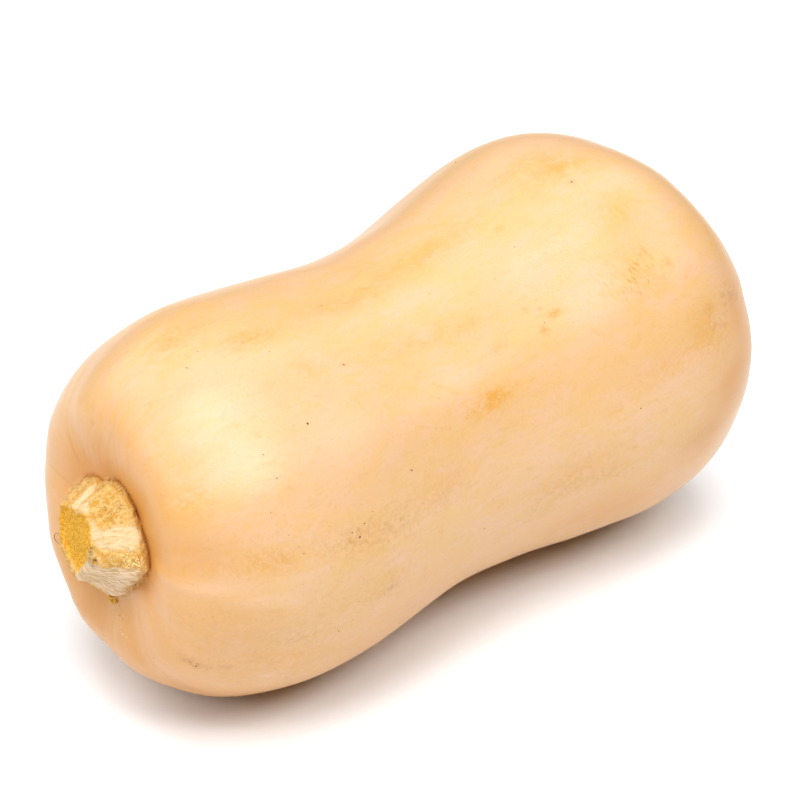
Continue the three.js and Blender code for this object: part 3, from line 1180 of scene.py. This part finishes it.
def crumb_tree():
    """Sets a flattened lump into the surface at each point, each a little different."""
    tree, given, size, out, identifiers = new_tree("squash_crumbs", ["Flatness", "Unevenness"])
    lump = add(tree, "GeometryNodeMeshIcoSphere", {"Radius": 0.5, "Subdivisions": 2})
    place = add(tree, "GeometryNodeInputPosition")
    rough = add(tree, "ShaderNodeTexNoise", {"Vector": place, "Scale": 2.3}).outputs["Color"]
    middle = {0: rough, 1: (0.5, 0.5, 0.5)}
    pushed = add(tree, "ShaderNodeVectorMath", middle, operation="SUBTRACT")
    unevenness = {0: pushed, "Scale": given["Unevenness"]}
    moved = add(tree, "ShaderNodeVectorMath", unevenness, operation="SCALE")
    uneven = add(tree, "GeometryNodeSetPosition", {"Geometry": lump, "Offset": moved})
    turn = add(tree, "FunctionNodeAlignRotationToVector", {"Vector": out}, axis="Z")
    turns = {0: (0, 0, 0), 1: (0, 0, 6.28), "Seed": given["Seed"]}
    spin = add(tree, "FunctionNodeRandomValue", turns, data_type="FLOAT_VECTOR")
    spun = add(tree, "FunctionNodeRotateRotation", {0: turn, 1: spin}, rotation_space="LOCAL")
    stretches = {0: (0.75, 0.75, 0.8), 1: (1.3, 1.1, 1.2), "Seed": given["Seed"]}
    stretch = add(tree, "FunctionNodeRandomValue", stretches, data_type="FLOAT_VECTOR")
    flat = add(tree, "ShaderNodeCombineXYZ", {0: 1.0, 1: 1.0, 2: given["Flatness"]})
    shape = add(tree, "ShaderNodeVectorMath", {0: stretch, 1: flat}, operation="MULTIPLY")
    scale = add(tree, "ShaderNodeVectorMath", {0: shape, "Scale": size}, operation="SCALE")
    end_tree(tree, given, uneven, spun, scale)
    return tree, identifiers


def hair_tree():
    """Stands a thin tapered hair on each point, each leaning its own way."""
    tree, given, size, out, identifiers = new_tree("squash_hairs", ["Thickness", "Lean"])
    taper = {"Vertices": 4, "Radius Top": 0.15, "Radius Bottom": 0.5, "Depth": 1.0}
    hair = add(tree, "GeometryNodeMeshCone", taper)
    ways = {0: (-1, -1, -1), 1: (1, 1, 1), "Seed": given["Seed"]}
    lean = add(tree, "FunctionNodeRandomValue", ways, data_type="FLOAT_VECTOR")
    share = {0: lean, "Scale": given["Lean"]}
    leaned = add(tree, "ShaderNodeVectorMath", share, operation="SCALE")
    way = add(tree, "ShaderNodeVectorMath", {0: out, 1: leaned}, operation="ADD")
    turn = add(tree, "FunctionNodeAlignRotationToVector", {"Vector": way}, axis="Z")
    thick = given["Thickness"]
    scale = add(tree, "ShaderNodeCombineXYZ", {0: thick, 1: thick, 2: size})
    end_tree(tree, given, hair, turn, scale)
    return tree, identifiers


def grow(name, spots, tree, identifiers, **values):
    """The plain mesh that a tree makes on spots, which are rows of (point, way out, size)."""
    seeds = bpy.data.meshes.new(name)
    seeds.from_pydata([tuple(np.array(point) * MM) for point, _, _ in spots], [], [])
    carry(seeds, "out", [way for _, way, _ in spots])
    carry(seeds, "size", [size * MM for _, _, size in spots])
    holder = new_object(name + "_seeds", seeds)
    modifier = holder.modifiers.new(name, "NODES")
    modifier.node_group = tree
    for label, value in values.items():
        modifier[identifiers[label]] = value
    graph = bpy.context.evaluated_depsgraph_get()
    grown = bpy.data.meshes.new_from_object(holder.evaluated_get(graph))
    grown.name = name
    holder.modifiers.clear()
    bpy.data.objects.remove(holder)
    bpy.data.meshes.remove(seeds)
    for attribute in ("out", "size"):
        if attribute in grown.attributes:
            grown.attributes.remove(grown.attributes[attribute])
    if not grown.polygons:
        raise RuntimeError(f"{name} came out empty")
    return grown


# Small pieces


def speck_spots(fruit, settings):
    """Specks that are listed, and a seeded few all over the skin."""
    chance = np.random.default_rng(settings.seed)
    spots = []
    for reach, angle, size in SPECKS:
        point, out = fruit.place(reach, angle)
        spots.append((point, out, size))
    for _ in range(settings.stray_specks):
        reach = chance.uniform(*STRAY_SPECK_REACH)
        angle = chance.uniform(0, 360)
        size = chance.uniform(*STRAY_SPECK_SIZES)
        point, out = fruit.place(reach, angle)
        if point[2] > 1:
            spots.append((point, out, size))
    return spots


def spread_on_stem(stem, place, count, sizes, seed, lift=0.0):
    """Seeded spots round a place on the stem's side: [height, angle, half height, half width]."""
    chance = np.random.default_rng(seed)
    height, angle, half_height, half_width = place
    spots = []
    for _ in range(count):
        at = height + half_height * chance.normal() * SPOT_SPREAD
        turn = angle + half_width * chance.normal() * SPOT_SPREAD
        point, out = stem.place(float(np.clip(at, -2, STEM_LENGTH - 1)), turn)
        size = chance.uniform(*sizes)
        spots.append((point + out * size * lift, out, size))
    return spots


def fibre_mesh(stem):
    """A thin dry fibre that curls off the edge of the cut and comes back to it."""
    chain = []
    for height, angle, away in FIBRE_POINTS:
        ring = np.argmin(np.abs(stem.height[:, 0] - min(height, STEM_LENGTH - 0.7)))
        side = int(round(angle / 360 * STEM_SIDES)) % STEM_SIDES
        chain.append(stem.points[ring, side] + stem.normals[ring, side] * away)
    path = clamped_spline(chain, np.linspace(0, 1, FIBRE_RINGS))
    turns = np.arange(FIBRE_SIDES) / FIBRE_SIDES * 2 * np.pi
    rings = []
    for i, middle in enumerate(path):
        along = path[min(i + 1, len(path) - 1)] - path[max(i - 1, 0)]
        along = Vector(along).normalized()
        first = along.orthogonal().normalized()
        second = along.cross(first)
        thick = FIBRE_THICKNESS * (0.35 + 0.65 * np.sin(np.pi * (i + 0.5) / len(path)))
        ring = [Vector(middle) + (first * np.cos(t) + second * np.sin(t)) * thick for t in turns]
        rings.append([list(point) for point in ring])
    first_tip = [list(path[0])] * FIBRE_SIDES
    last_tip = [list(path[-1])] * FIBRE_SIDES
    return closed_mesh("curled_fibre", np.array([first_tip, *rings, last_tip]))


# Settings


def length_property(label, description, millimetres):
    return FloatProperty(
        name=label,
        description=description,
        default=millimetres * MM,
        min=0,
        unit="LENGTH",
        precision=5,
    )


def count_property(label, description, count):
    return IntProperty(name=label, description=description, default=count, min=0)


def strength_property(label, description, strength):
    return FloatProperty(name=label, description=description, default=strength, min=0)


def colour_property(label, description, hex_colour):
    return FloatVectorProperty(
        name=label,
        description=description,
        subtype="COLOR",
        size=4,
        min=0,
        max=1,
        default=linear(hex_colour),
    )


class SquashFruitSettings(bpy.types.PropertyGroup):
    rib_height: length_property("Rib height", "Height of the faint lengthwise ribs", 0.2)
    lump_height: length_property("Lump height", "Height of the broad low lumps of the skin", 0.4)
    wave_height: length_property(
        "Wave height", "Height of the narrow waves that run along the skin", 0.12
    )
    scar_lip: length_property("Scar lip", "Height of the ring round the blossom scar", 0.6)
    scar_roughness: length_property(
        "Scar roughness", "Height of the corky lumps in the blossom scar", 0.35
    )
    stray_specks: count_property(
        "Stray specks", "Number of small dark specks that lie anywhere on the skin", 46
    )
    seed: count_property("Seed", "Picks another spread of stray specks", 7)


class SquashStemSettings(bpy.types.PropertyGroup):
    lump_height: length_property("Lump height", "Height of the broad lumps of the stem", 0.6)
    grain_height: length_property("Grain height", "Height of the corky granules", 0.3)
    fibre_height: length_property(
        "Fibre height", "Height of the fibres where the bark is rubbed off", 0.2
    )
    pit_depth: length_property("Pit depth", "Depth of the broken pits in the bark", 0.5)
    pith_depth: length_property(
        "Pith depth", "How far the pith lies below the edge of the cut", PITH_DEPTH
    )
    beads: count_property("Beads", "Number of pale beads on the lowest ridge", 70)
    hairs: count_property("Hairs", "Number of short hairs at each fuzzy place of the stem", 130)


class SquashSkinColours(bpy.types.PropertyGroup):
    # The next colour is also laid on as a painted sheen round the highlight and along the top.
    peach: colour_property("Peach", "Lightest clouds of the skin", "#DBB18A")
    straw: colour_property("Straw", "Yellower clouds of the skin", "#DAAE6E")
    blush: colour_property("Blush", "Faint pink-tan wisps", "#DAAA7E")
    # The next colour is partly the skin's own deeper tan and partly painted shade on the lower
    # side.
    warm_and_shade: colour_property("Warm", "Broad places of a deeper tan", "#CD914A")
    blotch: colour_property("Blotch", "Yellow-orange blotches", "#D69C4A")
    dull: colour_property("Dull", "Duller, faintly green places", "#C2904E")
    # The next colour is also laid on as painted shade in the fine folds near the stem.
    scratch: colour_property("Scratch", "Short scratches on the bulb", "#C68C32")
    smudge: colour_property("Smudge", "Brown rubbed marks and dots", "#95602F")
    # The next colour is partly the skin's own deeper orange near the stem and partly painted shade
    # in the dip round it.
    hollow_tone_and_shade: colour_property("Hollow", "Skin in the hollow round the stem", "#DC9744")
    # The next colour is painted shade in the narrow join where the stem leaves the skin.
    crevice_shade: colour_property("Crevice", "Line where the stem leaves the skin", "#C4742A")
    scar: colour_property("Scar", "Corky blossom scar", "#9C7444")
    speck: colour_property("Speck", "Dark corky specks", "#4E3018")


class SquashStemColours(bpy.types.PropertyGroup):
    cork_dark: colour_property("Cork shade", "Between the corky granules", "#9E6C28")
    cork_light: colour_property("Cork", "Tops of the corky granules", "#D9B26E")
    cork_gold: colour_property("Gold", "Golden clouds in the cork", "#CA953C")
    fibre_dark: colour_property("Fibre shade", "Between the bare fibres", "#C99F60")
    fibre_light: colour_property("Fibre", "Bare fibres", "#DEC296")
    grey_dark: colour_property("Grey shade", "Between the weathered fibres", "#BC976A")
    grey_light: colour_property("Grey", "Weathered fibres", "#E2C8A6")
    pit: colour_property("Pit", "Broken pits in the bark", "#96621F")
    pith_dark: colour_property("Pith shade", "Between the grains of the pith", "#CC861A")
    pith_light: colour_property("Pith", "Grains of the pith", "#EEB93A")
    bead: colour_property("Bead", "Beads and hairs on the stem", "#F0D79C")
    spot: colour_property("Spot", "Small dark spots on the edge of the cut", "#3F2C1E")
    # The next colour is painted shade along the stem's edge next to the skin.
    foot: colour_property("Foot", "Edge of the stem next to the skin", "#B97E38")


class SquashStageSettings(bpy.types.PropertyGroup):
    floor_size: length_property("Floor size", "Length of each side of the floor", 2000)
    floor_colour: colour_property("Floor", "Colour of the floor", "#F8FBFF")
    floor_shade: colour_property("Floor shade", "Colour between the floor's fibres", "#F7FAFE")
    light_strength: strength_property(
        "Light strength", "Share of their set power that the soft lights give", 1.0
    )
    backdrop_light: strength_property(
        "Backdrop light", "Brightness of the backdrop behind the floor, as the camera sees it", 1.0
    )
    room_light: strength_property(
        "Room light", "Strength of the even light that the room gives from all round", 0.015
    )


# Operators


class SQUASH_OT_fruit(bpy.types.Operator):
    """Makes the fruit with its skin"""

    bl_idname = "squash.fruit"
    bl_label = "Fruit"

    def execute(self, context):
        scene = context.scene
        fruit = Fruit(scene.squash_fruit)
        stem = Stem(scene.squash_stem, fruit)
        stem_mesh = closed_mesh("stem_for_distance", stem.points)
        near = fruit.reach[:, 0] < NEAR_STEM_REACH
        gap = np.full(fruit.points.shape[:2], FAR_AWAY)
        gap[near] = distances_to(stem_mesh, fruit.points[near])
        bpy.data.meshes.remove(stem_mesh)
        # The deeper orange round the stem, which holds painted shade, is stronger above the stem
        # than below it.
        above = smooth(np.sin(np.radians(fruit.angle)) * 0.5 + 0.6)
        carried = {
            "skin": fruit.skin,
            "scratch": fruit.scratch_coordinates(),
            "blotch": patches(fruit, BLOTCHES),
            "dull": patches(fruit, DULL_PATCHES),
            "smudge": patches(fruit, SMUDGES),
            # Pale marks, and a painted sheen round the highlight and along the top.
            "pale": patches(fruit, PALE_AND_SHEEN_PATCHES),
            # Deeper tan, partly painted shade on the lower side.
            "warm_and_shade": patches(fruit, WARM_AND_SHADE_PATCHES),
            "stain": patches(fruit, STAINS),
            "scuff": fruit.spot(*SCUFF),
            # Where painted shade goes into the fine folds.
            "folds": np.minimum(fruit.folds, 1),
            # Painted shade in the narrow join where the stem leaves the skin.
            "crevice_shade": bell(gap, CREVICE_SHADE_WIDTH),
            # Painted shade in the dip round the stem, over the skin's own deeper orange there.
            "hollow_tone_and_shade": HOLLOW_TONE_AND_SHADE_STRENGTH * bell(gap, HOLLOW_TONE_AND_SHADE_WIDTH) * (0.4 + 0.6 * above),
            "scar": bell(fruit.radius, SCAR_RADIUS) * (fruit.station > BODY_LENGTH / 2) + 0 * gap,
        }
        mesh = closed_mesh("squash_fruit", fruit.points, carried)
        material = waxy_squash_rind(scene.squash_skin_colours)
        add_piece("squash_fruit", mesh, material, replaced="fruit")
        return {"FINISHED"}


class SQUASH_OT_stem(bpy.types.Operator):
    """Makes the dry stem"""

    bl_idname = "squash.stem"
    bl_label = "Stem"

    def execute(self, context):
        scene = context.scene
        fruit = Fruit(scene.squash_fruit)
        stem = Stem(scene.squash_stem, fruit)
        gap = distances_to(bpy.data.objects["squash_fruit"].data, stem.points)
        carried = {
            "fibre": stem.fibre,
            "pith": stem.pith,
            "cream": stem.cream,
            "pits": stem.pits,
            "dark": stem.dark,
            "grey": stem.grey * (1 - stem.pith),
            "rim": stem.rim,
            # Painted shade along the stem's edge next to the skin.
            "foot": FOOT_SHADE_STRENGTH * bell(gap, FOOT_SHADE_WIDTH),
        }
        mesh = closed_mesh("squash_stem", stem.points, carried)
        material = dry_squash_stem(scene.squash_stem_colours)
        add_piece("squash_stem", mesh, material, replaced="stem")
        return {"FINISHED"}


class SQUASH_OT_specks(bpy.types.Operator):
    """Makes the small dark specks on the skin"""

    bl_idname = "squash.specks"
    bl_label = "Skin specks"

    def execute(self, context):
        settings = context.scene.squash_fruit
        colours = context.scene.squash_skin_colours
        fruit = Fruit(settings)
        material = corky_bits("corky_speck", colours.speck, colours.smudge)
        mesh = grow(
            "skin_specks",
            speck_spots(fruit, settings),
            *crumb_tree(),
            Flatness=SPECK_HEIGHT_SHARE,
            Unevenness=0.5,
            Seed=settings.seed,
            Material=material,
        )
        add_piece("skin_specks", mesh, material)
        return {"FINISHED"}


class SQUASH_OT_stem_bits(bpy.types.Operator):
    """Makes the beads, hairs, crumb and fibre on and beside the stem"""

    bl_idname = "squash.stem_bits"
    bl_label = "Stem bits"

    def execute(self, context):
        scene = context.scene
        settings = scene.squash_stem
        colours = scene.squash_stem_colours
        fruit = Fruit(scene.squash_fruit)
        stem = Stem(settings, fruit)
        crumbs = crumb_tree()
        chance = np.random.default_rng(CRUMB_SEED)

        pale = corky_bits("pale_beads", colours.cork_light, colours.bead)
        spots = spread_on_stem(stem, BEAD_PLACE, settings.beads, BEAD_SIZES, BEAD_SEED)
        for step in np.linspace(0, 1, TRAIL_CRUMBS):
            reach, angle = (1 - step) * np.array(CRUMB_TRAIL[0]) + step * np.array(CRUMB_TRAIL[1])
            angle += chance.uniform(-TRAIL_WANDER, TRAIL_WANDER)
            point, out = fruit.place(reach, angle)
            spots.append((point, out, chance.uniform(*TRAIL_CRUMB_SIZES)))
        look = {"Flatness": 0.95, "Unevenness": 0.12, "Seed": 1, "Material": pale}
        add_piece("stem_beads", grow("stem_beads", spots, *crumbs, **look), pale)

        spots = []
        for seed, place in enumerate(HAIR_PLACES, HAIR_SEED):
            spots += spread_on_stem(stem, place, settings.hairs, HAIR_LENGTHS, seed, HAIR_LIFT)
        look = {"Thickness": HAIR_THICKNESS * MM, "Lean": 0.45, "Seed": 2, "Material": pale}
        add_piece("stem_fuzz", grow("stem_fuzz", spots, *hair_tree(), **look), pale)

        golden = corky_bits("golden_crumb", colours.cork_gold, colours.pith_light)
        spots = []
        for _ in range(CRUMB_GRAINS):
            reach = CRUMB_PLACE[0] + CRUMB_PLACE[2] * chance.normal()
            angle = CRUMB_PLACE[1] + CRUMB_PLACE[3] * chance.normal()
            point, out = fruit.place(reach, angle)
            size = chance.uniform(*CRUMB_GRAIN_SIZES)
            lift = chance.uniform(0, CRUMB_GRAIN_LIFT)
            spots.append((point + out * size * lift, out, size))
        look = {"Flatness": 0.9, "Unevenness": 0.5, "Seed": 3, "Material": golden}
        add_piece("stem_crumb", grow("stem_crumb", spots, *crumbs, **look), golden)

        brown = corky_bits("brown_fibre", colours.spot, colours.pit)
        add_piece("curled_fibre", fibre_mesh(stem), brown)
        return {"FINISHED"}


class SQUASH_OT_stage(bpy.types.Operator):
    """Makes the floor, the soft light and the camera"""

    bl_idname = "squash.stage"
    bl_label = "Stage"

    def execute(self, context):
        scene = context.scene
        settings = scene.squash_stage
        self.make_floor(settings)
        self.light_room(scene, settings)
        for name, azimuth, elevation, size, power in LIGHTS:
            power *= settings.light_strength
            soft_light(name, direction_from(azimuth, elevation), size, power)
        self.set_camera(scene)
        return {"FINISHED"}

    def make_floor(self, settings):
        half = settings.floor_size / 2
        corners = [(-half, -half, 0), (half, -half, 0), (half, half, 0), (-half, half, 0)]
        mesh = bpy.data.meshes.new("studio_floor")
        mesh.from_pydata(corners, [], [(0, 1, 2, 3)])
        mesh.materials.append(white_paper_sweep(settings.floor_colour, settings.floor_shade))
        floor = new_object("studio_floor", mesh)

    def light_room(self, scene, settings):
        """A backdrop that is white to look at, in a room that itself gives little light."""
        scene.world = bpy.data.worlds.new("studio_room")
        scene.world.use_nodes = True
        tree = scene.world.node_tree
        tree.nodes.clear()
        seen = add(tree, "ShaderNodeLightPath").outputs["Is Camera Ray"]
        levels = {0: seen, 1: 0.0, 2: 1.0, 3: settings.room_light, 4: settings.backdrop_light}
        strength = add(tree, "ShaderNodeMapRange", levels)
        white = {"Color": linear("#FFFFFF"), "Strength": strength}
        sky = add(tree, "ShaderNodeBackground", white)
        add(tree, "ShaderNodeOutputWorld", {"Surface": sky})
        scene.view_settings.view_transform = "Standard"

    def set_camera(self, scene):
        back = direction_from(CAMERA_AZIMUTH, CAMERA_ELEVATION)
        data = bpy.data.cameras.new("photo_camera")
        data.sensor_width = 36
        data.lens = data.sensor_width / 2 / np.tan(np.radians(CAMERA_ANGLE / 2))
        data.dof.use_dof = False
        camera = new_object("photo_camera", data)
        camera.location = Vector(CAMERA_TARGET) * MM + back * CAMERA_DISTANCE * MM
        camera.rotation_mode = "QUATERNION"
        camera.rotation_quaternion = (-back).to_track_quat("-Z", "Y")
        scene.camera = camera


def direction_from(azimuth, elevation):
    """The way from the squash towards an azimuth and elevation in degrees."""
    turn = np.radians(azimuth)
    rise = np.radians(elevation)
    return Vector((np.sin(turn) * np.cos(rise), -np.cos(turn) * np.cos(rise), np.sin(rise)))


def soft_light(name, direction, size, power):
    """A square soft light that faces the middle of the squash from a direction."""
    data = bpy.data.lights.new(name, "AREA")
    data.size = size
    data.energy = power
    light = new_object(name, data)
    light.location = direction * LIGHT_DISTANCE
    light.rotation_mode = "QUATERNION"
    light.rotation_quaternion = direction.to_track_quat("Z", "Y")


# Panel


class SQUASH_PT_panel(bpy.types.Panel):
    """Lists what makes the squash"""

    bl_label = "Butternut Squash"
    bl_idname = "SQUASH_PT_panel"
    bl_space_type = "VIEW_3D"
    bl_region_type = "UI"
    bl_category = "Squash"

    def draw(self, context):
        for name in SETTINGS:
            box = self.layout.box()
            settings = getattr(context.scene, name)
            for key in settings.__annotations__:
                box.prop(settings, key)
        for operator in OPERATORS:
            self.layout.operator(operator.bl_idname)


SETTINGS = {
    "squash_fruit": SquashFruitSettings,
    "squash_stem": SquashStemSettings,
    "squash_skin_colours": SquashSkinColours,
    "squash_stem_colours": SquashStemColours,
    "squash_stage": SquashStageSettings,
}
OPERATORS = [
    SQUASH_OT_fruit,
    SQUASH_OT_stem,
    SQUASH_OT_specks,
    SQUASH_OT_stem_bits,
    SQUASH_OT_stage,
]


def register():
    for settings in SETTINGS.values():
        bpy.utils.register_class(settings)
    for operator in OPERATORS:
        bpy.utils.register_class(operator)
    bpy.utils.register_class(SQUASH_PT_panel)
    for name, settings in SETTINGS.items():
        setattr(bpy.types.Scene, name, PointerProperty(type=settings))


def unregister():
    for name in SETTINGS:
        delattr(bpy.types.Scene, name)
    bpy.utils.unregister_class(SQUASH_PT_panel)
    for operator in reversed(OPERATORS):
        bpy.utils.unregister_class(operator)
    for settings in SETTINGS.values():
        bpy.utils.unregister_class(settings)


def main():
    register()
    bpy.ops.squash.fruit()
    bpy.ops.squash.stem()
    bpy.ops.squash.specks()
    bpy.ops.squash.stem_bits()
    bpy.ops.squash.stage()


if __name__ == "__main__":
    main()
